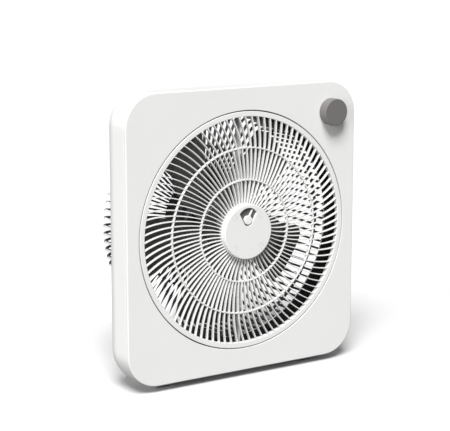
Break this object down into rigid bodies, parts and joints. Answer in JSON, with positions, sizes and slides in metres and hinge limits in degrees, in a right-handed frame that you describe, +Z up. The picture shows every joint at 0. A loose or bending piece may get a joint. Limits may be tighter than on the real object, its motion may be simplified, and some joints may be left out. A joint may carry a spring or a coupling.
{
  "type": "box fan",
  "caption": "Square white box fan on low feet, with a turning front grille of curved ribs, a hub lever, a grey speed knob and a slotted rear drum over the motor.",
  "frame": {"origin": "middle of the whole fan's footprint box, on the surface that its foot pads stand on", "axes": "+Z up, +X to the right as seen from the front, +Y to the back: the front panel faces -Y and the blade and the grille turn about a line along Y"},
  "size_m": [0.36, 0.1432, 0.396],
  "materials": {
    "white_panel": "fine matt white moulding",
    "white_shell": "satin white moulding",
    "grey_knob": "satin warm grey",
    "grey_blade": "smooth grey moulding",
    "black_rubber": "matt black",
    "black_plastic": "matt black",
    "painted_steel": "white painted strap",
    "bright_steel": "zinc plated",
    "cast_alloy": "as cast",
    "bronze": "sintered",
    "copper": "varnished winding",
    "lamination": "stacked steel sheet"
  },
  "bodies": {
    "casing": {"front_frame": "white_panel", "rear_shell": "white_shell", "rear_grille": "white_shell", "motor_cover": "white_shell", "foot_left": "white_shell", "foot_right": "white_shell", "foot_pad_1": "black_rubber", "foot_pad_2": "black_rubber", "foot_pad_3": "black_rubber", "foot_pad_4": "black_rubber", "cord_grommet": "black_rubber", "pivot_washer": "bright_steel", "pivot_bolt": "bright_steel", "grille_bridge": "painted_steel", "bridge_screw_top": "bright_steel", "bridge_screw_bottom": "bright_steel", "motor_stator": "lamination", "winding_front": "copper", "winding_rear": "copper", "motor_bell_front": "cast_alloy", "motor_bell_rear": "cast_alloy", "shaft_bushing_front": "bronze", "shaft_bushing_rear": "bronze", "switch_nut": "bright_steel", "rotary_switch": "black_plastic", "capacitor": "black_plastic", "motor_lead": "black_plastic", "case_screw_1": "bright_steel", "case_screw_2": "bright_steel", "case_screw_3": "bright_steel", "case_screw_4": "bright_steel", "grille_screw_1": "bright_steel", "grille_screw_2": "bright_steel", "grille_screw_3": "bright_steel", "grille_screw_4": "bright_steel", "motor_screw_1": "bright_steel", "motor_screw_2": "bright_steel", "motor_screw_3": "bright_steel", "motor_screw_4": "bright_steel"},
    "blade_wheel": {"fan_blade": "grey_blade", "spinner_nut": "grey_knob", "drive_pin": "bright_steel", "motor_shaft": "bright_steel", "motor_rotor": "lamination"},
    "turning_grille": {"front_grille": "white_panel", "hub_cap": "white_panel", "grille_bushing": "bronze"},
    "lever": {"grille_lever": "white_shell"},
    "knob": {"speed_knob": "grey_knob", "switch_spindle": "bright_steel"}
  },
  "joints": [
    {"name": "blade_spin", "type": "hinge", "parent": "casing", "child": "blade_wheel", "pos_m": [0, 0, 0.203], "axis": [0, 1, 0], "continuous": true},
    {"name": "grille_turn", "type": "hinge", "parent": "casing", "child": "turning_grille", "pos_m": [0, -0.0564, 0.203], "axis": [0, 1, 0], "continuous": true},
    {"name": "lever_swing", "type": "hinge", "parent": "turning_grille", "child": "lever", "pos_m": [0, -0.0614, 0.219], "axis": [0, 1, 0], "range_deg": [-74, 16]},
    {"name": "knob_turn", "type": "hinge", "parent": "casing", "child": "knob", "pos_m": [0.1382, -0.0656, 0.3549], "axis": [0, 1, 0], "range_deg": [0, 135]}
  ]
}
